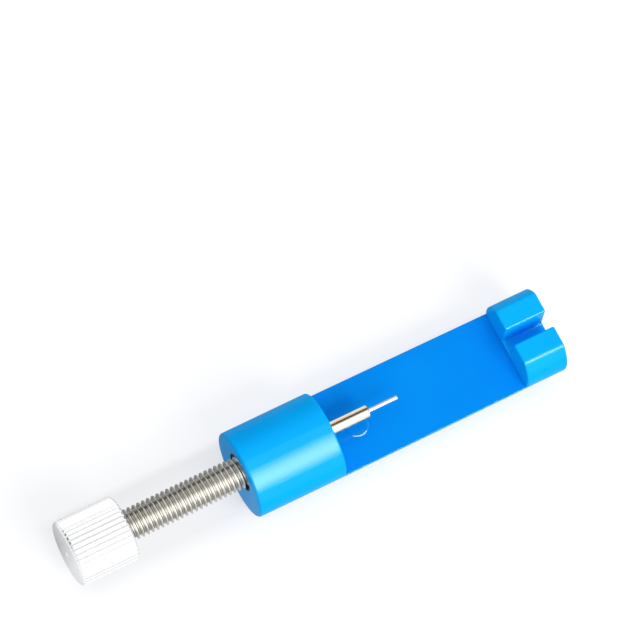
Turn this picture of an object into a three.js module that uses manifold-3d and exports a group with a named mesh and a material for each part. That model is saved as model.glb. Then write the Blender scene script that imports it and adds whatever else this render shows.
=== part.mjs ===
// Watch link remover: a round handle with a threaded head, a long flat bed, a slotted fence,
// and a knurled drive screw that feeds a thin push pin along the bed.
// Millimetres, +Z up. The bar axis runs along X, from the knob (-X) to the fence (+X).

import * as THREE from 'three';
import { mergeVertices } from 'three/addons/utils/BufferGeometryUtils.js';
import Module from 'manifold-3d';

const wasm = await Module();
wasm.setup();

// Handle: head, bed and fence, all measured from the head's outer face.
const headR = 6.85;
const headLength = 14.5;
const headEdgeRound = 0.4;
const fenceR = 6.7;
const fenceLength = 6.8;
const handleLength = 52;
const bedFloorZ = -1.27;
const footZ = -6.42;
const rootOverlap = 2;
const rootDip = 0.05;

// Fence: two flat-topped prongs with a slot between them.
const prongTopZ = 4.9;
const prongOuterRound = 0.55;
const prongInnerRound = 0.4;
const slotWidth = 2.5;
const slotFloorZ = -0.4;
const slotFloorRound = 0.3;
const fenceEdgeRound = 0.25;

// Ejector mark: a low disc with a sloping edge on the bed floor, a little to the -Y side.
const markR = 1.9;
const markHeight = 0.1;
const markSlopeWidth = 0.17;
const markFromHead = 5.1;
const markFromMiddle = 0.35;

// Drive screw: M5 x 0.8, above the bar axis so that it clears the bed.
const screwAxisZ = 1.8;
const screwR = 2.5;
const pitch = 0.8;
const threadDepth = 0.49;
const crestFlatShare = 0.125;
const rootFlatShare = 0.25;
const screwOutside = 19.2;
const screwInside = 11.5;
const screwEndChamfer = 0.5;
const shankR = 1.9;
const shankLength = 6.2;
const socketDepth = 6;

// Threaded insert, moulded into the head.
const insertR = 3.3;
const insertLength = 10;
const insertSetback = 0.8;
const insertGrooveDepth = 0.35;
const insertGrooveWidth = 1.6;
const threadClearance = 0.12;
const mouthClearance = 0.15;
const mouthCountersink = 0.4;
const insertClearance = 0.1;

// Knob.
const knobR = 5.2;
const knobLength = 9.5;
const knobEdgeRound = 0.6;
const fluteCount = 40;
const fluteDepth = 0.28;
const fluteShare = 0.42;
const shankClearance = 0.1;
const centreMarkR = 0.5;
const centreMarkDepth = 0.3;
const knobTurnDegrees = 4.1;

// Push pin and its holder.
const holderR = 1.05;
const holderTipX = 21.5;
const holderEdge = 0.2;
const socketClearance = 0.1;
const pinR = 0.35;
const pinTipX = 26.4;
const pinTipRound = 0.12;
const pinSeatDepth = 4;
const pinClearance = 0.05;

// Facet counts.
const barSegments = 72;
const threadSegments = 20;
const turnedSegments = 32;
const pinSegments = 20;
const roundSteps = 3;

// Dependent sizes.
const fenceX = handleLength - fenceLength;
const bedX = headLength - rootOverlap;
const insertEndX = insertSetback + insertLength;
const headBoreR = screwR + mouthClearance;
const knobFaceX = -screwOutside;
const knobEndX = knobFaceX - knobLength;
const shankEndX = knobFaceX - shankLength;
const socketX = screwInside - socketDepth;
const holderStartX = socketX + socketClearance;
const pinStartX = holderTipX - pinSeatDepth + pinClearance;
const toolCentreX = (handleLength + knobEndX) / 2;
const cutMargin = 1;

// Turns a profile of [along X, radius] pairs around the X axis at height z.
function turned(profile, segments, z) {
  const points = profile.map(([x, r]) => new THREE.Vector2(r, x));
  const geometry = new THREE.LatheGeometry(points, segments);
  geometry.rotateZ(-Math.PI / 2);
  geometry.translate(0, 0, z);
  return geometry;
}

// A plain round rod from x0 to x1.
function rod(x0, x1, r, segments, z) {
  return turned([[x0, 0], [x0, r], [x1, r], [x1, 0]], segments, z);
}

// A box given by its two far corners.
function block(low, high) {
  const size = high.map((value, i) => value - low[i]);
  const geometry = new THREE.BoxGeometry(...size);
  geometry.translate(...high.map((value, i) => (value + low[i]) / 2));
  return geometry;
}

// Points of a quarter round from one edge of a profile to the next, as [along X, radius] pairs.
function roundedEdge(x, r, dx, dr) {
  const points = [];
  for (let i = 0; i <= roundSteps; i += 1) {
    const turn = (Math.PI / 2) * (i / roundSteps);
    points.push([x + dx * (1 - Math.sin(turn)), r + dr * (1 - Math.cos(turn))]);
  }
  return points;
}

// A boolean solid from any closed geometry.
function solid(geometry) {
  const bare = new THREE.BufferGeometry();
  bare.setAttribute('position', geometry.getAttribute('position'));
  bare.setIndex(geometry.getIndex());
  const merged = mergeVertices(bare);
  const mesh = new wasm.Mesh({
    numProp: 3,
    vertProperties: new Float32Array(merged.getAttribute('position').array),
    triVerts: new Uint32Array(merged.getIndex().array),
  });
  return new wasm.Manifold(mesh);
}

// A geometry from a boolean solid.
function shown(body) {
  const mesh = body.getMesh();
  const geometry = new THREE.BufferGeometry();
  geometry.setAttribute('position', new THREE.BufferAttribute(mesh.vertProperties, 3));
  geometry.setIndex(new THREE.BufferAttribute(mesh.triVerts, 1));
  geometry.computeVertexNormals();
  return geometry;
}

// A right-hand threaded rod around the X axis. Its rows follow the helix, so that each crest
// and root is one unbroken strip. Both ends are ragged and are cut square by the caller.
function threadedRod(x0, x1, grow) {
  const crestR = screwR + grow;
  const rootR = screwR - threadDepth + grow;
  const flankShare = (1 - crestFlatShare - rootFlatShare) / 2;
  const shares = [0, crestFlatShare, crestFlatShare + flankShare, 1 - flankShare];
  const radii = [crestR, crestR, rootR, rootR];
  const rowsPerTurn = shares.length;
  const turns = Math.ceil((x1 - x0) / pitch);
  const rows = turns * rowsPerTurn;
  const vertex = (j, k) => {
    const share = Math.floor(k / rowsPerTurn) + shares[k % rowsPerTurn] + j / threadSegments;
    const angle = 2 * Math.PI * (j / threadSegments);
    const r = radii[k % rowsPerTurn];
    return [x0 + pitch * share, r * Math.cos(angle), r * Math.sin(angle)];
  };
  const soup = [];
  const ring = (k) => {
    const loop = [];
    for (let j = 0; j <= threadSegments; j += 1) {
      loop.push(vertex(j, k));
    }
    for (let step = rowsPerTurn - 1; step >= 0; step -= 1) {
      loop.push(vertex(0, k + step));
    }
    return loop;
  };
  for (let k = 0; k < rows; k += 1) {
    for (let j = 0; j < threadSegments; j += 1) {
      const a = vertex(j, k);
      const b = vertex(j + 1, k);
      const c = vertex(j + 1, k + 1);
      const d = vertex(j, k + 1);
      soup.push(...a, ...b, ...c, ...a, ...c, ...d);
    }
  }
  const first = ring(0);
  const last = ring(rows);
  const firstHub = [x0 - pitch, 0, 0];
  const lastHub = [x0 + pitch * (turns + 2), 0, 0];
  for (let i = 0; i + 1 < first.length; i += 1) {
    soup.push(...firstHub, ...first[i + 1], ...first[i]);
    soup.push(...lastHub, ...last[i], ...last[i + 1]);
  }
  const geometry = new THREE.BufferGeometry();
  geometry.setAttribute('position', new THREE.BufferAttribute(new Float32Array(soup), 3));
  geometry.translate(0, 0, screwAxisZ);
  return geometry;
}

// The outline of the fence in the Y-Z plane: the bar's circle with a flat top and a slot.
function fenceOutline() {
  const flatHalf = Math.sqrt(fenceR ** 2 - prongTopZ ** 2);
  const cornerAngle = Math.atan2(prongTopZ, flatHalf);
  const arcStart = cornerAngle - prongOuterRound / fenceR;
  const slotHalf = slotWidth / 2;
  const half = (side) => [
    [side * slotHalf, slotFloorZ + slotFloorRound],
    [side * slotHalf, prongTopZ - prongInnerRound],
    [side * (slotHalf + prongInnerRound), prongTopZ],
    [side * (flatHalf - prongOuterRound), prongTopZ],
    [side * fenceR * Math.cos(arcStart), fenceR * Math.sin(arcStart)],
  ];
  const [rightFoot, rightInner, rightInnerTop, rightOuterTop, rightArc] = half(1);
  const [leftFoot, leftInner, leftInnerTop, leftOuterTop, leftArc] = half(-1);
  const shape = new THREE.Shape();
  shape.moveTo(slotHalf - slotFloorRound, slotFloorZ);
  shape.quadraticCurveTo(slotHalf, slotFloorZ, ...rightFoot);
  shape.lineTo(...rightInner);
  shape.quadraticCurveTo(slotHalf, prongTopZ, ...rightInnerTop);
  shape.lineTo(...rightOuterTop);
  shape.quadraticCurveTo(flatHalf, prongTopZ, ...rightArc);
  const arcStep = 2 * Math.PI / barSegments;
  const arcTop = Math.floor(arcStart / arcStep);
  for (let i = arcTop; i >= -arcTop - barSegments / 2; i -= 1) {
    shape.lineTo(fenceR * Math.cos(i * arcStep), fenceR * Math.sin(i * arcStep));
  }
  shape.lineTo(...leftArc);
  shape.quadraticCurveTo(-flatHalf, prongTopZ, ...leftOuterTop);
  shape.lineTo(...leftInnerTop);
  shape.quadraticCurveTo(-slotHalf, prongTopZ, ...leftInner);
  shape.lineTo(...leftFoot);
  shape.quadraticCurveTo(-slotHalf, slotFloorZ, -slotHalf + slotFloorRound, slotFloorZ);
  shape.closePath();
  return shape;
}

// The slotted fence, with rounded edges at both of its ends.
function fence() {
  const geometry = new THREE.ExtrudeGeometry(fenceOutline(), {
    depth: fenceLength - 2 * fenceEdgeRound,
    curveSegments: roundSteps,
    bevelEnabled: true,
    bevelThickness: fenceEdgeRound,
    bevelSize: fenceEdgeRound,
    bevelOffset: -fenceEdgeRound,
    bevelSegments: roundSteps,
  });
  geometry.rotateX(Math.PI / 2);
  geometry.rotateZ(Math.PI / 2);
  geometry.translate(fenceX + fenceEdgeRound, 0, 0);
  return geometry;
}

// The one-piece handle.
function handle() {
  const head = solid(turned([
    [0, 0],
    ...roundedEdge(0, headR, headEdgeRound, -headEdgeRound).reverse(),
    ...roundedEdge(headLength, headR, -headEdgeRound, -headEdgeRound),
    [headLength, 0],
  ], barSegments, 0));
  const bed = solid(turned([
    [bedX, 0],
    [bedX, headR - rootDip],
    [headLength, headR],
    [fenceX, fenceR],
    [fenceX + rootOverlap, fenceR - rootDip],
    [fenceX + rootOverlap, 0],
  ], barSegments, 0));
  const aboveBed = solid(block(
    [headLength - 2 * rootOverlap, -2 * headR, bedFloorZ],
    [handleLength, 2 * headR, 2 * headR],
  ));
  const belowFoot = solid(block(
    [-cutMargin, -headR, -2 * headR],
    [handleLength + cutMargin, headR, footZ],
  ));
  const mark = turned([
    [-rootOverlap, 0],
    [-rootOverlap, markR],
    [0, markR],
    [markHeight, markR - markSlopeWidth],
    [markHeight, 0],
  ], turnedSegments, 0);
  mark.rotateY(-Math.PI / 2);
  mark.translate(headLength + markFromHead, -markFromMiddle, bedFloorZ);
  const throughBore = solid(turned([
    [-cutMargin, 0],
    [-cutMargin, headBoreR + mouthCountersink + cutMargin],
    [mouthCountersink, headBoreR],
    [headLength + cutMargin, headBoreR],
    [headLength + cutMargin, 0],
  ], turnedSegments, screwAxisZ));
  const insertSeat = solid(turned([
    [insertSetback, 0],
    ...insertOutline(insertClearance),
    [insertEndX, 0],
  ], turnedSegments, screwAxisZ));
  return head
    .add(bed.subtract(aboveBed))
    .add(solid(fence()))
    .add(solid(mark))
    .subtract(belowFoot)
    .subtract(throughBore)
    .subtract(insertSeat);
}

// The outer outline of the insert: a sleeve with one retaining groove round its middle.
function insertOutline(grow) {
  const r = insertR + grow;
  const start = insertSetback - grow;
  const end = insertEndX + grow;
  const middle = (insertSetback + insertEndX) / 2;
  const grooveHalf = insertGrooveWidth / 2 - grow;
  return [
    [start, r],
    [middle - grooveHalf - insertGrooveDepth, r],
    [middle - grooveHalf, r - insertGrooveDepth],
    [middle + grooveHalf, r - insertGrooveDepth],
    [middle + grooveHalf + insertGrooveDepth, r],
    [end, r],
  ];
}

// The threaded insert.
function threadInsert() {
  const sleeve = solid(turned([
    [insertSetback, 0],
    ...insertOutline(0),
    [insertEndX, 0],
  ], turnedSegments, screwAxisZ));
  return sleeve.subtract(solid(threadedRod(knobFaceX, insertEndX + 2 * pitch, threadClearance)));
}

// The drive screw: thread, plain shank for the knob, and a socket for the pin holder.
function driveScrew() {
  const envelope = solid(turned([
    [knobFaceX, 0],
    [knobFaceX, screwR + cutMargin],
    [screwInside - screwEndChamfer - cutMargin, screwR + cutMargin],
    [screwInside, screwR - screwEndChamfer],
    [screwInside, 0],
  ], turnedSegments, screwAxisZ));
  const thread = solid(threadedRod(knobFaceX - 2 * pitch, screwInside + 2 * pitch, 0));
  const shank = solid(rod(shankEndX, knobFaceX + pitch, shankR, turnedSegments, screwAxisZ));
  const socketR = holderR + socketClearance;
  const socket = solid(rod(socketX, screwInside + cutMargin, socketR, pinSegments, screwAxisZ));
  return thread.intersect(envelope).add(shank).subtract(socket);
}

// The knob: straight flutes that run out in its rounded edges, and a blind bore for the shank.
function knob() {
  const shape = new THREE.Shape();
  const step = 2 * Math.PI / fluteCount;
  for (let i = 0; i < fluteCount; i += 1) {
    const crestStart = step * (i + fluteShare / 2);
    const crestEnd = step * (i + 1 - fluteShare / 2);
    const root = step * (i + 1);
    const rootR = knobR - fluteDepth;
    const first = [knobR * Math.cos(crestStart), knobR * Math.sin(crestStart)];
    if (i === 0) {
      shape.moveTo(...first);
    } else {
      shape.lineTo(...first);
    }
    shape.lineTo(knobR * Math.cos(crestEnd), knobR * Math.sin(crestEnd));
    shape.lineTo(rootR * Math.cos(root), rootR * Math.sin(root));
  }
  shape.closePath();
  const fluted = new THREE.ExtrudeGeometry(shape, { depth: knobLength, bevelEnabled: false });
  fluted.rotateY(Math.PI / 2);
  fluted.translate(knobEndX, 0, 0);
  const blank = solid(turned([
    [knobEndX, 0],
    ...roundedEdge(knobEndX, knobR, knobEdgeRound, -knobEdgeRound).reverse(),
    ...roundedEdge(knobFaceX, knobR, -knobEdgeRound, -knobEdgeRound),
    [knobFaceX, 0],
  ], fluteCount * 2, 0));
  const boreR = shankR + shankClearance;
  const boreEndX = shankEndX - shankClearance;
  const bore = solid(rod(boreEndX, knobFaceX + cutMargin, boreR, turnedSegments, 0));
  const centreMark = solid(turned([
    [knobEndX - cutMargin, 0],
    [knobEndX - cutMargin, centreMarkR],
    [knobEndX, centreMarkR],
    [knobEndX + centreMarkDepth, 0],
  ], pinSegments, 0));
  const turnedKnob = solid(fluted).intersect(blank).subtract(bore).subtract(centreMark);
  return turnedKnob.rotate([knobTurnDegrees, 0, 0]).translate([0, 0, screwAxisZ]);
}

// The pin holder: a plain sleeve that sits in the screw's socket and carries the pin.
function pinHolder() {
  const outer = solid(turned([
    [holderStartX, 0],
    [holderStartX, holderR],
    [holderTipX - holderEdge, holderR],
    [holderTipX, holderR - holderEdge],
    [holderTipX, 0],
  ], pinSegments, screwAxisZ));
  const seatX = holderTipX - pinSeatDepth;
  const boreR = pinR + pinClearance;
  return outer.subtract(solid(rod(seatX, holderTipX + cutMargin, boreR, pinSegments, screwAxisZ)));
}

// The push pin, with a softened tip.
function pushPin() {
  return solid(turned([
    [pinStartX, 0],
    [pinStartX, pinR],
    ...roundedEdge(pinTipX, pinR, -pinTipRound, -pinTipRound),
    [pinTipX, 0],
  ], pinSegments, screwAxisZ));
}

function piece(name, body, colour, roughness, metalness) {
  const material = new THREE.MeshStandardMaterial({ color: colour, roughness, metalness });
  const mesh = new THREE.Mesh(shown(body), material);
  mesh.name = name;
  return mesh;
}

const tool = new THREE.Group();
tool.name = 'watch_link_remover';
tool.position.set(-toolCentreX, 0, -footZ);
tool.add(piece('handle', handle(), 0x05a8fa, 0.2, 0));
tool.add(piece('thread_insert', threadInsert(), 0xb9b2a2, 0.35, 1));
tool.add(piece('drive_screw', driveScrew(), 0xc9c6bd, 0.3, 1));
tool.add(piece('knob', knob(), 0xe2e4e4, 0.35, 1));
tool.add(piece('pin_holder', pinHolder(), 0xd8d0c0, 0.2, 1));
tool.add(piece('push_pin', pushPin(), 0xb8b8b4, 0.25, 1));

export default tool;
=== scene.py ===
import math

import bpy
import numpy as np
from mathutils import Matrix, Vector


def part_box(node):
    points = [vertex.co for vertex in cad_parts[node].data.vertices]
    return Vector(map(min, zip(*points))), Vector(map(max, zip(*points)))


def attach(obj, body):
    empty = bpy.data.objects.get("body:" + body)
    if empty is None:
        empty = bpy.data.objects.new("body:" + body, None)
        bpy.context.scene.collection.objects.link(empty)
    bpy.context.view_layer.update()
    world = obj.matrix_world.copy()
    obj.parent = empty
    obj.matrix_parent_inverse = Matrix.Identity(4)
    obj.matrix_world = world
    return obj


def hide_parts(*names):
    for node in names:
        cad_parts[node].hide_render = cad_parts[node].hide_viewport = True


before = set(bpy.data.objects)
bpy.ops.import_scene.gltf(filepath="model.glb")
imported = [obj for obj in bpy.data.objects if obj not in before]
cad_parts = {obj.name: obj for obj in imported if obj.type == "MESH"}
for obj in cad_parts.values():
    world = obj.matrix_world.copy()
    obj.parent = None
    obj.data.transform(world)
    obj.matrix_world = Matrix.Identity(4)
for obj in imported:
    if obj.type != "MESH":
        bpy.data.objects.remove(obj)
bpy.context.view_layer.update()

MM = 0.001

# Sizes in millimetres, as in the part's source: x from the head's outer face, z from the bar axis.
HEAD_R = 6.85
HEAD_L = 14.5
HEAD_ROUND = 0.4
FENCE_R = 6.7
FENCE_L = 6.8
HANDLE_L = 52.0
BED_Z = -1.27
BED_ROUND = 0.18
FOOT_Z = -6.42
PRONG_Z = 4.9
PRONG_OUTER = 0.85
PRONG_INNER = 0.36
SLOT_W = 2.5
SLOT_Z = -0.4
SLOT_ROUND = 0.24
FENCE_ROUND = 0.33
MARK_R = 1.9
MARK_H = 0.10
MARK_SLOPE = 0.17
MARK_ROOT = 0.5
MARK_X = HEAD_L + 5.1
MARK_Y = -0.35

# The bed's ends reach this far into the head and the fence, a little inside their round sides.
BED_REACH = 2.0
HEAD_DIP = 0.02
FENCE_DIP = 0.03

# How far a cutting solid stands out past what it cuts.
CUT_MARGIN = 1.0

AXIS_Z = 1.8
SCREW_R = 2.5
PITCH = 0.8
THREAD_DEPTH = 0.49
SCREW_OUT = 19.2
SCREW_IN = 11.5
SCREW_CHAMFER = 0.5
SHANK_R = 1.9
SHANK_L = 6.2
SHANK_GAP = 0.1
SOCKET_L = 6.0
SOCKET_GAP = 0.1

# Thread profile: places along one pitch and depths, as shares of the pitch and the thread depth.
THREAD_SHARES = [(-0.05, 0.0), (0.05, 0.0), (0.095, 0.07), (0.33, 0.92), (0.40, 1.0),
                 (0.60, 1.0), (0.67, 0.92), (0.905, 0.07)]
HALF_CREST_SHARE = 0.0625

# Painted shade on the thread: the share of the metal's colour left at the thread's root, and how far
# under the crest the colour stays whole.
THREAD_ROOT_SHADE = 0.55
CREST_BAND = 0.1

INSERT_X0 = 0.8
INSERT_X1 = 10.8
INSERT_R = 3.3
INSERT_GAP = 0.1
BORE_R = 2.65
COUNTERSINK = 0.4

KNOB_R = 5.2
KNOB_L = 9.5
KNOB_ROUND = 0.6
KNOB_TURN = math.radians(4.1)
CENTRE_MARK_R = 0.5
CENTRE_MARK_DEPTH = 0.3

# Flutes of the knob: a share of each step is cut, by a curve of that power, and painted shade
# leaves the metal that share of its colour at their roots.
FLUTES = 40
FLUTE_DEPTH = 0.28
FLUTE_SHARE = 0.42
FLUTE_BOW = 0.9
FLUTE_SHADE = 0.92

HOLDER_R = 1.05
HOLDER_X0 = SCREW_IN - SOCKET_L + SOCKET_GAP
HOLDER_X1 = 21.5
HOLDER_BACK_ROUND = 0.1
HOLDER_TIP_ROUND = 0.22
PIN_R = 0.35
PIN_GAP = 0.05
PIN_SEAT = 4.0
PIN_X0 = HOLDER_X1 - PIN_SEAT + PIN_GAP
PIN_X1 = 26.4
PIN_ROUND = 0.12

# Facets round the bar and round the smaller round forms, and on each flute.
ARC = 240
FINE = 120
THREAD_FACETS = 64
ENVELOPE_FACETS = 96
ROD_FACETS = 48
HOLDER_FACETS = 72
FLUTE_FACETS = 14

# Blue of the skin as written; a deeper blue on the bed's floor and a near-black blue in the bore's
# mouth, both painted shade.
SKIN_BLUES = [(0.0004, 0.405, 0.985), (0.0008, 0.435, 1.0)]
BED_SHADE_BLUES = [(0.0004, 0.232, 0.795), (0.0008, 0.254, 0.820)]
MOUTH_SHADE_BLUE = (0.002, 0.02, 0.05, 1)

# Where the bed's painted shade fades in and out and where the mark starts, from the bed's floor up,
# and over how far painted shade fades along the bar at the head and the fence, and round the bore's
# mouth.
BED_SHADE_FROM = (-0.12, -0.06)
BED_SHADE_TO = (0.2, 0.4)
MARK_RISES = (0.01, 0.02)
HEAD_FADE = 0.02
FENCE_FADE = 0.1
MOUTH_FADE = (-0.02, 0.03)

# Gloss of the blue plastic, from face on to a slant, and what the bed and the edge of the mark
# have of it. Levels are the upward parts of the normal, on flat ground and on a slope.
GLOSS_SLANTS = (0.10, 0.40)
GLOSS_LEVELS = (0.3, 0.02)
BED_GLOSS_SHARE = 0.3
MARK_GLOSS_SHARE = 1.8
FLAT_LEVELS = (0.97, 0.99)
SLOPE_LEVELS = (0.95, 0.97)

# Brightness where 1 is white. The room: in reflections, in the dim strip that reflections show
# from overhead to the far side, for soft shading, and as the camera sees it.
ROOM_REFLECTED = 0.95
ROOM_STRIP = 0.12
ROOM_SHADING = 0.62
ROOM_SEEN = 0.97

# Angles from straight up toward +Y, in degrees, over which the dim strip starts and ends.
STRIP_START = (9, 13)
STRIP_END = (80, 90)

# The floor: as seen, the share of painted shadow close to the tool in reflections, the share
# of painted shadow besides on the far side, the share of painted shadow right under the tool as
# the camera sees it, the brightness for soft shading, and the share of the paper that is glow.
FLOOR_SEEN = 1.14
FLOOR_SHADED = 0.38
FLOOR_FAR_SHADED = 0.45
FLOOR_UNDER = 0.16
FLOOR_SHADING = 0.37
FLOOR_GLOW_SHARE = 0.62

# Half the floor's width, and how far it lies under the foot, in metres.
FLOOR_REACH = 3.0
FLOOR_DROP = 0.00002

# Edges of the floor's painted shadow, in millimetres in the row frame: places of y across the bar,
# and of x at its two ends. The edges at the knob's end move with the sliding parts.
BESIDE_NEAR = (-22, -17)
BESIDE_FAR = (18, 24)
FAR_STARTS = (0, 4)
UNDER_NEAR = (-7.5, -3.3)
UNDER_FAR = (7, 8.5)
UNDER_KNOB_END = (-42, -37)
UNDER_FENCE_END = (37, 42)
SHADE_KNOB_END = (-52, -41)
SHADE_FENCE_END = (41, 52)

# Lights, in metres and degrees.
LIGHT_TARGET = Vector((0.0145, 0, 0.006))
LIGHT_TILT = 8
LAMP_DISTANCE = 0.45
LAMP_SIZE = 0.25
BOX_WIDTH = 0.50

# The camera stands far off, a little toward the knob and the lower side of the picture.
CAMERA_DISTANCE = 1.0
FOCAL_PX = 6725.0
TOWARD_KNOB = 0.208
TOWARD_SIDE = 0.24
ROLL = math.radians(-25.56)
TARGET_X = 15.0
TARGET_PX = (328.5, 433.2)
FRAME_PX = 640
SENSOR_MM = 36

box_lo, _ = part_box("handle")
HEAD_FACE_X = box_lo[0] / MM
BAR_Z = box_lo[2] / MM - FOOT_Z


def place(points):
    """Millimetres in the tool's own coordinates to metres in the row frame."""
    p = np.asarray(points, float).copy()
    p[:, 0] += HEAD_FACE_X
    p[:, 2] += BAR_Z
    return p * MM


def make(name, points, faces):
    mesh = bpy.data.meshes.new(name)
    mesh.from_pydata([tuple(v) for v in place(points)], [], faces)
    mesh.validate()
    mesh.update()
    obj = bpy.data.objects.new(name, mesh)
    bpy.context.scene.collection.objects.link(obj)
    return obj


def loft(name, rings):
    """A closed solid from rings of equal length. A ring of one point closes an end."""
    points, starts = [], []
    for ring in rings:
        starts.append((len(points), len(ring)))
        points.extend(ring)
    faces = []
    for (a, na), (b, nb) in zip(starts, starts[1:]):
        n = max(na, nb)
        for i in range(n):
            j = (i + 1) % n
            if na == 1:
                faces.append((a, b + j, b + i))
            elif nb == 1:
                faces.append((a + i, a + j, b))
            else:
                faces.append((a + i, a + j, b + j, b + i))
    first, count = starts[0]
    if count > 1:
        faces.append(tuple(first + i for i in reversed(range(count))))
    last, count = starts[-1]
    if count > 1:
        faces.append(tuple(last + i for i in range(count)))
    return make(name, points, faces)


def turned(name, profile, segments=ARC, z=0.0):
    """A solid of revolution about the X axis at height z, from (x, r) pairs."""
    rings = []
    for x, r in profile:
        if r == 0:
            rings.append([(x, 0.0, z)])
        else:
            angles = [2 * math.pi * i / segments for i in range(segments)]
            rings.append([(x, r * math.cos(a), z + r * math.sin(a)) for a in angles])
    return loft(name, rings)


def rod(name, x0, x1, r, segments, z):
    """A plain round rod from x0 to x1."""
    return turned(name, [(x0, 0), (x0, r), (x1, r), (x1, 0)], segments, z)


def quarter(x, r, dx, dr, steps=8):
    """A quarter round for a profile, from (x + dx, r) to (x, r + dr)."""
    turns = [math.pi / 2 * i / steps for i in range(steps + 1)]
    return [(x + dx * (1 - math.sin(t)), r + dr * (1 - math.cos(t))) for t in turns]


def boolean(target, other, operation):
    """Joins or cuts target by other, which is used up."""
    mod = target.modifiers.new("cut", "BOOLEAN")
    mod.operation = operation
    mod.solver = "MANIFOLD"
    mod.object = other
    evaluated = target.evaluated_get(bpy.context.evaluated_depsgraph_get())
    mesh = bpy.data.meshes.new_from_object(evaluated)
    target.modifiers.clear()
    old = target.data
    name = old.name
    target.data = mesh
    bpy.data.meshes.remove(old)
    mesh.name = name
    mesh.materials.clear()
    mesh.polygons.foreach_set("material_index", [0] * len(mesh.polygons))
    bpy.data.meshes.remove(other.data)


def smooth(obj, angle, weighted=True):
    obj.data.shade_smooth()
    obj.data.set_sharp_from_angle(angle=math.radians(angle))
    if weighted:
        mod = obj.modifiers.new("normals", "WEIGHTED_NORMAL")
        mod.keep_sharp = True


def arc(cy, cz, r, a0, a1, steps):
    """Points of an arc in the Y-Z plane, angles in degrees, both ends kept."""
    angles = np.radians(np.linspace(a0, a1, steps + 1))
    return [(cy + r * math.cos(a), cz + r * math.sin(a)) for a in angles]


def mirrored(points):
    """The other half of an outline that is the same on both sides."""
    return [(-y, z) for y, z in reversed(points)]


def long_arc(r, a0):
    """The bar's arc from the left edge round the bottom to the right edge, open at both ends."""
    step = 360 / ARC
    first = math.floor((180 - a0) / step) + 1
    angles = [i * step for i in range(first, 2 * ARC) if i * step < 360 + a0 - 1e-6]
    return [(r * math.cos(math.radians(a)), r * math.sin(math.radians(a))) for a in angles]


def bed_outline(r):
    """Section of the bed: the bar's lower arc under a flat floor with softened edges."""
    cz = BED_Z - BED_ROUND
    cy = math.sqrt((r - BED_ROUND) ** 2 - cz ** 2)
    a0 = math.degrees(math.atan2(cz, cy))
    corner = arc(cy, cz, BED_ROUND, a0, 90, 8)
    return corner + mirrored(corner) + long_arc(r, a0)


def fence_outline(inset):
    """Section of the fence, drawn in by inset all round."""
    oz = PRONG_Z - PRONG_OUTER
    oy = math.sqrt((FENCE_R - PRONG_OUTER) ** 2 - oz ** 2)
    a0 = math.degrees(math.atan2(oz, oy))
    half = SLOT_W / 2
    right = arc(oy, oz, PRONG_OUTER - inset, a0, 90, 10)
    right += arc(half + PRONG_INNER, PRONG_Z - PRONG_INNER, PRONG_INNER - inset, 90, 180, 8)
    right += arc(half - SLOT_ROUND, SLOT_Z + SLOT_ROUND, SLOT_ROUND + inset, 0, -90, 6)
    return right + mirrored(right) + long_arc(FENCE_R - inset, a0)


def at(x, outline):
    """An outline in the Y-Z plane, placed at x."""
    return [(x, y, z) for y, z in outline]


def build_handle():
    body = turned("handle_shell", [
        (0, 0),
        *reversed(quarter(0, HEAD_R, HEAD_ROUND, -HEAD_ROUND)),
        *quarter(HEAD_L, HEAD_R, -HEAD_ROUND, -HEAD_ROUND),
        (HEAD_L, 0),
    ])
    fence_x = HANDLE_L - FENCE_L
    bed = loft("bed", [
        at(HEAD_L - BED_REACH, bed_outline(HEAD_R - HEAD_DIP)),
        at(HEAD_L, bed_outline(HEAD_R)),
        at(fence_x, bed_outline(FENCE_R)),
        at(fence_x + BED_REACH, bed_outline(FENCE_R - FENCE_DIP)),
    ])
    boolean(body, bed, "UNION")
    edge = quarter(0, 0, FENCE_ROUND, FENCE_ROUND)
    left = [(fence_x + drawn_in, inset) for inset, drawn_in in edge]
    right = [(HANDLE_L - drawn_in, inset) for inset, drawn_in in reversed(edge)]
    fence = loft("fence", [at(x, fence_outline(inset)) for x, inset in left + right])
    boolean(body, fence, "UNION")
    mark = turned("mark", [
        (-MARK_ROOT, 0),
        (-MARK_ROOT, MARK_R),
        (0, MARK_R),
        (MARK_H, MARK_R - MARK_SLOPE),
        (MARK_H, 0),
    ], FINE)
    for v in mark.data.vertices:
        up = v.co.x / MM - HEAD_FACE_X
        side = v.co.z / MM - BAR_Z
        across = v.co.y / MM
        v.co = Vector((MARK_X + HEAD_FACE_X - side, across + MARK_Y, BED_Z + BAR_Z + up)) * MM
    boolean(body, mark, "UNION")
    bore = turned("bore", [
        (-CUT_MARGIN, 0),
        (-CUT_MARGIN, BORE_R + COUNTERSINK + CUT_MARGIN),
        (COUNTERSINK, BORE_R),
        (HEAD_L + CUT_MARGIN, BORE_R),
        (HEAD_L + CUT_MARGIN, 0),
    ], FINE, AXIS_Z)
    boolean(body, bore, "DIFFERENCE")
    seat_r = INSERT_R + INSERT_GAP
    seat = rod("seat", INSERT_X0 - INSERT_GAP, INSERT_X1 + INSERT_GAP, seat_r, FINE, AXIS_Z)
    boolean(body, seat, "DIFFERENCE")
    corners = [(x, y, z) for x in (-CUT_MARGIN, HANDLE_L + CUT_MARGIN)
               for y in (-HEAD_R - CUT_MARGIN, HEAD_R + CUT_MARGIN)
               for z in (-HEAD_R - CUT_MARGIN, FOOT_Z)]
    foot = make("foot", corners, [
        (0, 1, 3, 2), (4, 6, 7, 5), (0, 4, 5, 1), (2, 3, 7, 6), (0, 2, 6, 4), (1, 5, 7, 3)])
    boolean(body, foot, "DIFFERENCE")
    smooth(body, angle=25)
    return body


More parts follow.
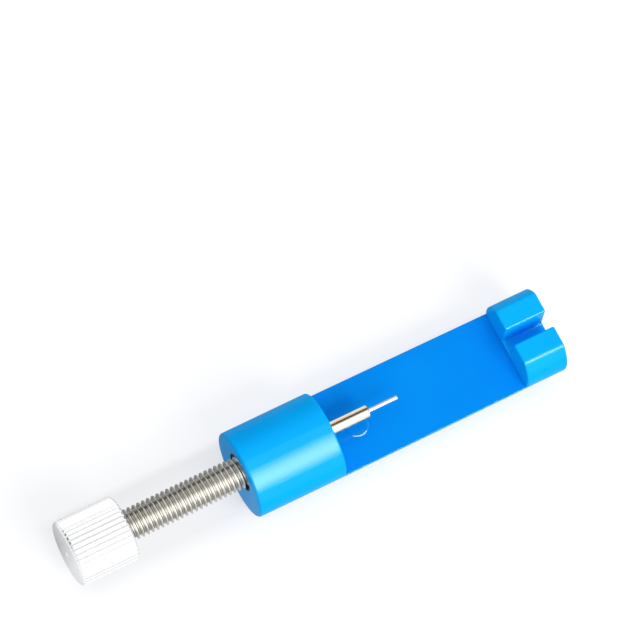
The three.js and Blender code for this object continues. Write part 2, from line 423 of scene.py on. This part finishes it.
def build_screw():
    rows_per_turn = len(THREAD_SHARES)
    start = -SCREW_OUT - 2 * PITCH + HALF_CREST_SHARE * PITCH
    turns = math.ceil((SCREW_IN + 2 * PITCH - start) / PITCH)
    rows = turns * rows_per_turn

    def vertex(j, k):
        share, depth = THREAD_SHARES[k % rows_per_turn]
        share += k // rows_per_turn + j / THREAD_FACETS
        a = 2 * math.pi * j / THREAD_FACETS
        r = SCREW_R - THREAD_DEPTH * depth
        return start + PITCH * share, r * math.cos(a), AXIS_Z + r * math.sin(a)

    total = rows + rows_per_turn + 1
    points = [vertex(j, k) for k in range(rows + 1) for j in range(THREAD_FACETS)]
    extra = len(points)
    points += [vertex(0, k) for k in range(rows + 1, total)]
    points += [(start - PITCH, 0, AXIS_Z), (start + PITCH * (turns + 2), 0, AXIS_Z)]
    hub0, hub1 = len(points) - 2, len(points) - 1

    def index(j, k):
        if j == THREAD_FACETS:
            j, k = 0, k + rows_per_turn
        return k * THREAD_FACETS + j if k <= rows else extra + k - rows - 1

    faces = [(index(j, k), index(j + 1, k), index(j + 1, k + 1), index(j, k + 1))
             for k in range(rows) for j in range(THREAD_FACETS)]
    for k, hub in ((0, hub0), (rows, hub1)):
        ring = [index(j, k) for j in range(THREAD_FACETS + 1)]
        ring += [index(0, k + s) for s in range(rows_per_turn - 1, -1, -1)]
        for a, b in zip(ring, ring[1:]):
            faces.append((hub, b, a) if hub == hub0 else (hub, a, b))
    screw = make("screw_thread", points, faces)
    envelope = turned("envelope", [
        (-SCREW_OUT, 0),
        (-SCREW_OUT, SCREW_R + CUT_MARGIN),
        (SCREW_IN - SCREW_CHAMFER - CUT_MARGIN, SCREW_R + CUT_MARGIN),
        (SCREW_IN, SCREW_R - SCREW_CHAMFER),
        (SCREW_IN, 0),
    ], ENVELOPE_FACETS, AXIS_Z)
    boolean(screw, envelope, "INTERSECT")
    shank = rod("shank", -SCREW_OUT - SHANK_L, -SCREW_OUT + PITCH, SHANK_R, ROD_FACETS, AXIS_Z)
    boolean(screw, shank, "UNION")
    socket_r = HOLDER_R + SOCKET_GAP
    socket = rod("socket", SCREW_IN - SOCKET_L, SCREW_IN + CUT_MARGIN, socket_r, ROD_FACETS, AXIS_Z)
    boolean(screw, socket, "DIFFERENCE")
    smooth(screw, angle=40, weighted=False)
    return screw


def build_knob():
    count = FLUTES * FLUTE_FACETS
    x0 = -SCREW_OUT - KNOB_L
    x1 = -SCREW_OUT
    bore_r = SHANK_R + SHANK_GAP
    bore_end = x1 - SHANK_L - SHANK_GAP

    def flute(j):
        place_in = (j % FLUTE_FACETS) / FLUTE_FACETS
        away = min(place_in, 1 - place_in) / (FLUTE_SHARE / 2)
        if away >= 1:
            return 0.0
        return FLUTE_DEPTH * (1 - away) ** FLUTE_BOW

    def ring(x, r_round, fluted):
        out = []
        for j in range(count):
            a = 2 * math.pi * j / count + KNOB_TURN
            r = min(r_round, KNOB_R - flute(j)) if fluted else r_round
            out.append((x, r * math.cos(a), AXIS_Z + r * math.sin(a)))
        return out

    back = reversed(quarter(x0, KNOB_R, KNOB_ROUND, -KNOB_ROUND, 10))
    front = quarter(x1, KNOB_R, -KNOB_ROUND, -KNOB_ROUND, 10)
    sides = [x0 + KNOB_ROUND + (KNOB_L - 2 * KNOB_ROUND) * i / 12 for i in range(1, 12)]
    knob = loft("knob_fluted", [
        [(x0 + CENTRE_MARK_DEPTH, 0, AXIS_Z)],
        ring(x0, CENTRE_MARK_R, False),
        ring(x0, KNOB_R / 2, False),
        *(ring(x, r, True) for x, r in back),
        *(ring(x, KNOB_R, True) for x in sides),
        *(ring(x, r, True) for x, r in front),
        ring(x1, bore_r, False),
        ring(bore_end, bore_r, False),
        [(bore_end, 0, AXIS_Z)],
    ])
    smooth(knob, angle=28)
    return knob


def build_holder():
    bore_r = PIN_R + PIN_GAP
    holder = turned("pin_sleeve", [
        (HOLDER_X0, 0),
        *reversed(quarter(HOLDER_X0, HOLDER_R, HOLDER_BACK_ROUND, -HOLDER_BACK_ROUND, 4)),
        *quarter(HOLDER_X1, HOLDER_R, -HOLDER_TIP_ROUND, -HOLDER_TIP_ROUND, 8),
        (HOLDER_X1, bore_r),
        (HOLDER_X1 - PIN_SEAT, bore_r),
        (HOLDER_X1 - PIN_SEAT, 0),
    ], HOLDER_FACETS, AXIS_Z)
    smooth(holder, angle=32)
    return holder


def build_pin():
    pin = turned("thin_pin", [
        (PIN_X0, 0),
        (PIN_X0, PIN_R),
        *quarter(PIN_X1, PIN_R, -PIN_ROUND, -PIN_ROUND, 6),
        (PIN_X1, 0),
    ], ROD_FACETS, AXIS_Z)
    smooth(pin, angle=40)
    return pin


def mm(*values):
    """Millimetres to metres."""
    return [v * MM for v in values]


class Tree:
    """A node tree, with short calls for what the materials, the floor and the room share."""

    def __init__(self, tree):
        self.tree = tree

    def node(self, kind, inputs=(), **values):
        n = self.tree.nodes.new(kind)
        for key, value in values.items():
            setattr(n, key, value)
        for key, value in dict(inputs).items():
            if isinstance(value, bpy.types.NodeSocket):
                self.tree.links.new(value, n.inputs[key])
            else:
                n.inputs[key].default_value = value
        return n

    def range(self, value, lo, hi, to_lo, to_hi, kind="LINEAR"):
        n = self.node("ShaderNodeMapRange", {
            "Value": value, "From Min": lo, "From Max": hi, "To Min": to_lo, "To Max": to_hi},
            interpolation_type=kind)
        return n.outputs["Result"]

    def choose(self, switch, off, on):
        """One value where switch is 0 and the other where it is 1."""
        return self.range(switch, 0.0, 1.0, off, on)

    def math(self, operation, a, b):
        return self.node("ShaderNodeMath", {0: a, 1: b}, operation=operation).outputs[0]

    def multiply(self, a, b):
        return self.math("MULTIPLY", a, b)

    def rises(self, value, edge, kind="LINEAR"):
        """0 below the two places of edge and 1 above them."""
        return self.range(value, *edge, 0.0, 1.0, kind)

    def falls(self, value, edge, kind="LINEAR"):
        """1 below the two places of edge and 0 above them."""
        return self.range(value, *edge, 1.0, 0.0, kind)

    def split(self, vector):
        parts = self.node("ShaderNodeSeparateXYZ", {"Vector": vector})
        return [parts.outputs[i] for i in range(3)]


class Surface(Tree):
    """The node tree of a new material with the standard shader."""

    def __init__(self, name):
        self.mat = bpy.data.materials.new(name)
        self.mat.use_nodes = True
        super().__init__(self.mat.node_tree)
        self.bsdf = self.tree.nodes["Principled BSDF"]
        texture = self.node("ShaderNodeTexCoord")
        self.coords = texture.outputs["Object"]
        self.normals = texture.outputs["Normal"]

    def set(self, **values):
        for key, value in values.items():
            self.bsdf.inputs[key.replace("_", " ")].default_value = value

    def link(self, output, name):
        self.tree.links.new(output, self.bsdf.inputs[name])

    def noise(self, scale, detail=3.0, rough=0.5, stretch=(1, 1, 1)):
        stretched = self.node("ShaderNodeMapping", {"Vector": self.coords, "Scale": stretch})
        n = self.node("ShaderNodeTexNoise", {
            "Vector": stretched.outputs[0], "Scale": scale, "Detail": detail, "Roughness": rough})
        return n.outputs["Fac"]

    def blend(self, fac, colours):
        """From the first colour at 0.3 to the second at 0.7."""
        n = self.node("ShaderNodeValToRGB", {"Fac": fac})
        for e, position, colour in zip(n.color_ramp.elements, (0.30, 0.70), colours):
            e.position = position
            e.color = (*colour, 1)
        return n.outputs["Color"]

    def from_axis(self, y, z):
        """Distance from the screw's axis."""
        rise = self.math("SUBTRACT", z, (AXIS_Z + BAR_Z) * MM)
        squares = self.math("ADD", self.multiply(y, y), self.multiply(rise, rise))
        return self.math("POWER", squares, 0.5)

    def mix(self, fac, a, b):
        n = self.tree.nodes.new("ShaderNodeMix")
        n.data_type = "RGBA"
        for key, value in (("Factor", fac), ("A", a), ("B", b)):
            socket = next(i for i in n.inputs if i.name == key and i.enabled)
            if isinstance(value, bpy.types.NodeSocket):
                self.tree.links.new(value, socket)
            else:
                socket.default_value = value
        return next(o for o in n.outputs if o.enabled)

    def scaled(self, colour, factor):
        n = self.node("ShaderNodeVectorMath", {0: colour, 1: factor}, operation="MULTIPLY")
        return n.outputs[0]

    def bump(self, height, distance, strength, under=None):
        inputs = {"Height": height, "Distance": distance, "Strength": strength}
        if under is not None:
            inputs["Normal"] = under
        return self.node("ShaderNodeBump", inputs).outputs["Normal"]


def plastic():
    """Glossy blue with haze, soft waves and fine scratches, and painted shade: deeper blue on the bed's
    floor and near-black in the bore's mouth.
    """
    m = Surface("blue_plastic")
    m.set(Metallic=0.0, IOR=1.46, Specular_Tint=(0.75, 0.80, 0.95, 1))
    cloud = m.noise(90.0, detail=2.0)
    skin = m.blend(cloud, SKIN_BLUES)
    bed_shade_blue = m.blend(cloud, BED_SHADE_BLUES)
    x, y, z = m.split(m.coords)
    floor_z = BED_Z + BAR_Z
    head_x = HEAD_FACE_X + HEAD_L
    fence_x = HEAD_FACE_X + HANDLE_L - FENCE_L
    on_bed = m.multiply(
        m.rises(z, mm(*(floor_z + up for up in BED_SHADE_FROM))),
        m.falls(z, mm(*(floor_z + up for up in BED_SHADE_TO))))
    past_head = m.rises(x, mm(head_x - HEAD_FADE, head_x))
    before_fence = m.falls(x, mm(fence_x, fence_x + FENCE_FADE))
    bed = m.multiply(on_bed, m.multiply(past_head, before_fence))
    # Painted shade of the bed's floor: the deeper blue where bed is 1.
    colour = m.mix(bed, skin, bed_shade_blue)
    # Painted shade in the bore: the plastic turns near-black close to the screw's axis, all through the
    # head.
    mouth_r = BORE_R + COUNTERSINK
    near_screw = m.falls(m.from_axis(y, z), mm(*(mouth_r + out for out in MOUTH_FADE)))
    mouth = m.multiply(near_screw, m.math("SUBTRACT", 1.0, past_head))
    m.link(m.mix(mouth, colour, MOUTH_SHADE_BLUE), "Base Color")

    # The gloss is weaker on the bed's flat floor and stronger on the edge of the mark.
    facing = m.node("ShaderNodeLayerWeight", {"Blend": 0.5}).outputs["Facing"]
    level = m.split(m.normals)[2]
    flat = m.multiply(bed, m.rises(level, FLAT_LEVELS))
    raised = m.rises(z, mm(*(floor_z + up for up in MARK_RISES)))
    mark_edge = m.multiply(m.multiply(bed, raised), m.falls(level, SLOPE_LEVELS))
    gloss = m.range(facing, *GLOSS_SLANTS, *GLOSS_LEVELS)
    gloss = m.multiply(gloss, m.choose(flat, 1.0, BED_GLOSS_SHARE))
    gloss = m.multiply(gloss, m.choose(mark_edge, 1.0, MARK_GLOSS_SHARE))
    m.link(gloss, "Specular IOR Level")

    haze = m.noise(520.0, detail=4.0, rough=0.6)
    m.link(m.range(haze, 0.35, 0.75, 0.07, 0.13), "Roughness")
    wave = m.noise(260.0, detail=1.0)
    scratch = m.noise(900.0, detail=2.0, stretch=(0.04, 1.0, 1.0))
    soft = m.bump(wave, distance=0.00001, strength=0.35)
    lines = m.rises(scratch, (0.62, 0.70))
    m.link(m.bump(lines, distance=0.000002, strength=0.25, under=soft), "Normal")
    return m.mat


def metal(name, colours, rough, turning, grain, shade=None):
    """Plated or plain metal with turning lines round the X axis and a little haze.

    shade takes the nodes and gives a factor of painted shade that darkens the metal in its hollows.
    """
    m = Surface(name)
    m.set(Metallic=1.0)
    haze = m.noise(700.0, detail=4.0, rough=0.55)
    colour = m.blend(haze, colours)
    if shade is not None:
        colour = m.scaled(colour, shade(m))
    m.link(colour, "Base Color")
    lines = m.noise(1.0, detail=2.0, rough=0.6, stretch=(turning, 60.0, 60.0))
    m.link(m.range(lines, 0.3, 0.7, *rough), "Roughness")
    m.link(m.bump(lines, distance=grain, strength=0.5), "Normal")
    return m.mat


def thread_shade(m):
    """Painted shade, darker toward the roots of the thread."""
    _, y, z = m.split(m.coords)
    root, crest = mm(SCREW_R - THREAD_DEPTH, SCREW_R - CREST_BAND)
    return m.range(m.from_axis(y, z), root, crest, THREAD_ROOT_SHADE, 1.0)


def knob_shade(m):
    """Painted shade, darker in the flutes."""
    _, y, z = m.split(m.coords)
    angle = m.math("ARCTAN2", m.math("SUBTRACT", z, (AXIS_Z + BAR_Z) * MM), y)
    turns = m.multiply(m.math("SUBTRACT", angle, KNOB_TURN), FLUTES / (2 * math.pi))
    from_root = m.math("PINGPONG", turns, 0.5)
    edge = FLUTE_SHARE / 2
    in_flute = m.range(from_root, edge / 2, edge, 1 - FLUTE_SHADE, 0.0)
    near_rim = m.rises(m.from_axis(y, z), mm(KNOB_R - KNOB_ROUND, KNOB_R - FLUTE_DEPTH))
    return m.math("SUBTRACT", 1.0, m.multiply(in_flute, near_rim))


handle = build_handle()
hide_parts("handle")
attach(handle, "handle_body")
handle.data.materials.append(plastic())

screw = build_screw()
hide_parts("drive_screw")
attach(screw, "screw")
screw.data.materials.append(metal(
    "plated_steel", colours=[(0.60, 0.585, 0.53), (0.70, 0.685, 0.63)], rough=(0.22, 0.34),
    turning=9000.0, grain=0.000003, shade=thread_shade))

knob = build_knob()
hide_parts("knob")
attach(knob, "screw")
knob.data.materials.append(metal(
    "bright_aluminium", colours=[(0.90, 0.905, 0.905), (0.93, 0.93, 0.93)], rough=(0.26, 0.36),
    turning=5000.0, grain=0.000004, shade=knob_shade))

holder = build_holder()
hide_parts("pin_holder")
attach(holder, "pin_carrier")
holder.data.materials.append(metal(
    "holder_steel", colours=[(0.80, 0.68, 0.50), (0.88, 0.76, 0.58)], rough=(0.10, 0.17),
    turning=9000.0, grain=0.000002))

pin = build_pin()
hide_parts("push_pin")
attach(pin, "pin_carrier")
pin.data.materials.append(metal(
    "pin_steel", colours=[(0.58, 0.60, 0.62), (0.74, 0.75, 0.76)], rough=(0.16, 0.26),
    turning=9000.0, grain=0.000001))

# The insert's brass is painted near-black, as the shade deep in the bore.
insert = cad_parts["thread_insert"]
insert_shaded_brass = metal(
    "plated_brass", colours=[(0.16, 0.15, 0.13), (0.24, 0.22, 0.19)], rough=(0.35, 0.5),
    turning=6000.0, grain=0.000003)
for s in insert.material_slots:
    s.material = insert_shaded_brass


def floor_paper(slider):
    """Pale paper that stays pale to the camera, with a painted shadow of the tool in its glow.

    The matte part takes the tool's real shadow. The glow is painted dimmer close to the tool: a
    little right under it, as the camera sees it, and more and farther out in reflections. At the
    knob's end the painted shadow moves with slider.
    """
    mat = bpy.data.materials.new("pale_floor")
    mat.use_nodes = True
    t = Tree(mat.node_tree)
    t.tree.nodes.clear()
    x, y, _ = t.split(t.node("ShaderNodeNewGeometry").outputs["Position"])
    slid_x = t.split(t.node("ShaderNodeTexCoord", object=slider).outputs["Object"])[0]
    # Painted shadow: the glow is dimmed by place, near the tool and under it.
    beside = t.multiply(t.rises(y, mm(*BESIDE_NEAR)), t.falls(y, mm(*BESIDE_FAR)))
    under = t.multiply(t.rises(y, mm(*UNDER_NEAR)), t.falls(y, mm(*UNDER_FAR)))
    under = t.multiply(under, t.rises(slid_x, mm(*UNDER_KNOB_END)))
    under = t.multiply(under, t.falls(x, mm(*UNDER_FENCE_END)))
    along = t.multiply(t.rises(slid_x, mm(*SHADE_KNOB_END)), t.falls(x, mm(*SHADE_FENCE_END)))
    far_side = t.multiply(t.rises(y, mm(*FAR_STARTS)), t.falls(y, mm(*BESIDE_FAR)))
    near_shade = t.choose(beside, 0.0, FLOOR_SEEN * FLOOR_SHADED)
    far_shade = t.choose(far_side, 0.0, FLOOR_SEEN * FLOOR_FAR_SHADED)
    shade = t.multiply(t.math("ADD", near_shade, far_shade), along)
    in_reflections = t.math("SUBTRACT", FLOOR_SEEN, shade)
    to_camera = t.choose(under, FLOOR_SEEN, FLOOR_SEEN * (1 - FLOOR_UNDER))
    path = t.node("ShaderNodeLightPath").outputs
    seen = t.choose(path["Is Glossy Ray"], to_camera, in_reflections)
    strength = t.choose(path["Is Diffuse Ray"], seen, FLOOR_SHADING)
    matte = t.node("ShaderNodeBsdfDiffuse", {"Color": (0.88, 0.88, 0.9, 1)})
    glow = t.node("ShaderNodeEmission", {"Color": (0.985, 0.99, 1.0, 1), "Strength": strength})
    mix = t.node("ShaderNodeMixShader", {0: FLOOR_GLOW_SHARE, 1: matte.outputs[0], 2: glow.outputs[0]})
    t.node("ShaderNodeOutputMaterial", {"Surface": mix.outputs[0]})
    return mat


# Floor, flush with the foot.
floor_mesh = bpy.data.meshes.new("floor")
floor_corners = [(x * FLOOR_REACH, y * FLOOR_REACH, 0) for x, y in ((-1, -1), (1, -1), (1, 1), (-1, 1))]
floor_mesh.from_pydata(floor_corners, [], [(0, 1, 2, 3)])
floor = bpy.data.objects.new("floor", floor_mesh)
bpy.context.scene.collection.objects.link(floor)
floor.location.z = -FLOOR_DROP
floor_mesh.materials.append(floor_paper(holder))

# The room is pale to the camera and in reflections, but for one dim strip, and even for soft
# shading.
world = bpy.data.worlds.new("studio")
bpy.context.scene.world = world
world.use_nodes = True
room = Tree(world.node_tree)
way = room.split(room.node("ShaderNodeTexCoord").outputs["Generated"])
lean = room.math("ARCTAN2", way[1], way[2])
strip = room.multiply(
    room.rises(lean, [math.radians(a) for a in STRIP_START], "SMOOTHSTEP"),
    room.falls(lean, [math.radians(a) for a in STRIP_END], "SMOOTHSTEP"))
room_path = room.node("ShaderNodeLightPath").outputs
room_level = room.choose(strip, ROOM_REFLECTED, ROOM_STRIP)
room_level = room.choose(room_path["Is Diffuse Ray"], room_level, ROOM_SHADING)
room_level = room.choose(room_path["Is Camera Ray"], room_level, ROOM_SEEN)
sky = room.tree.nodes["Background"]
sky.inputs["Color"].default_value = (0.98, 0.99, 1.0, 1)
room.tree.links.new(room_level, sky.inputs["Strength"])


def softbox(name, angle, distance, width, height, radiance):
    """A soft box seen from the tool at that angle from +Z towards -Y, turned to face the tool."""
    a = math.radians(angle)
    t = math.radians(LIGHT_TILT)
    away = Vector((math.sin(t), -math.sin(a) * math.cos(t), math.cos(a) * math.cos(t)))
    across = (Vector((1, 0, 0)) - away * away.x).normalized()
    light = bpy.data.lights.new(name, "AREA")
    light.shape = "RECTANGLE"
    light.size = width
    light.size_y = height
    light.energy = radiance * math.pi * width * height
    obj = bpy.data.objects.new(name, light)
    bpy.context.scene.collection.objects.link(obj)
    up = away.cross(across)
    spot = LIGHT_TARGET + away * distance
    rows = [[across[i], up[i], away[i], spot[i]] for i in range(3)]
    obj.matrix_world = Matrix(rows + [[0, 0, 0, 1]])
    return obj


# The lamps only shade, the main one from 50 degrees and a weak one from overhead.
for name, angle, radiance in (("main_light", 50, 7.35), ("top_light", -20, 1.1)):
    lamp = softbox(name, angle, LAMP_DISTANCE, LAMP_SIZE, LAMP_SIZE, radiance)
    lamp.visible_glossy = False

# The boxes show only in reflections, each on the parts named with it: name, angle, share of the
# circle in degrees, distance, radiance, parts.
MIRRORED_BOXES = [
    ("plastic_wide", 46.5, 60, 0.360, 5.0, [handle]),
    ("plastic_middle", 46.5, 42, 0.356, 7.0, [handle]),
    ("plastic_core", 46.5, 22, 0.352, 5.2, [handle]),
    ("plated_wide", 46.5, 76, 0.380, 1.1, [screw, holder, pin, insert]),
    ("plated_middle", 46.5, 44, 0.376, 1.8, [screw, holder, pin, insert]),
    ("knob_wide", 47, 106, 0.380, 0.55, [knob]),
    ("overhead", -32, 42, 0.380, 1.15, [screw, knob, pin, insert]),
    ("far_side_holder", -70, 42, 0.380, 0.75, [holder]),
    ("far_side_knob", -72, 38, 0.380, 0.88, [knob]),
]
for name, angle, share, distance, radiance, parts in MIRRORED_BOXES:
    height = 2 * distance * math.tan(math.radians(share / 2))
    box = softbox(name, angle, distance, BOX_WIDTH, height, radiance)
    box.visible_diffuse = False
    shown_on = bpy.data.collections.new(name + "_parts")
    for part in parts:
        shown_on.objects.link(part)
    box.light_linking.receiver_collection = shown_on

target = Vector(((HEAD_FACE_X + TARGET_X) * MM, 0, BAR_Z * MM))
back = Vector((-TOWARD_KNOB, -TOWARD_SIDE, math.sqrt(1 - TOWARD_KNOB ** 2 - TOWARD_SIDE ** 2)))
forward = -back
right = (Vector((1, 0, 0)) - forward * forward.x).normalized()
down = forward.cross(right)
turned_right = right * math.cos(ROLL) - down * math.sin(ROLL)
turned_down = right * math.sin(ROLL) + down * math.cos(ROLL)
offset_px = [px - FRAME_PX / 2 for px in TARGET_PX]
ray = Vector((*(px / FOCAL_PX for px in offset_px), 1))
swing = Vector((0, 0, 1)).rotation_difference(ray.normalized()).to_matrix()
rows = [turned_right, turned_down, forward]
axes = [sum((rows[j] * swing[i][j] for j in range(3)), Vector()) for i in range(3)]
cam_data = bpy.data.cameras.new("camera")
cam = bpy.data.objects.new("camera", cam_data)
bpy.context.scene.collection.objects.link(cam)
cam_data.sensor_width = SENSOR_MM
cam_data.lens = FOCAL_PX * SENSOR_MM / FRAME_PX
cam_data.clip_start = 0.05
cam_data.clip_end = 20
spot = target + back * CAMERA_DISTANCE
cam.matrix_world = Matrix([
    [axes[0][i], -axes[1][i], -axes[2][i], spot[i]] for i in range(3)
] + [[0, 0, 0, 1]])
bpy.context.scene.camera = cam
bpy.context.scene.view_settings.view_transform = "Standard"
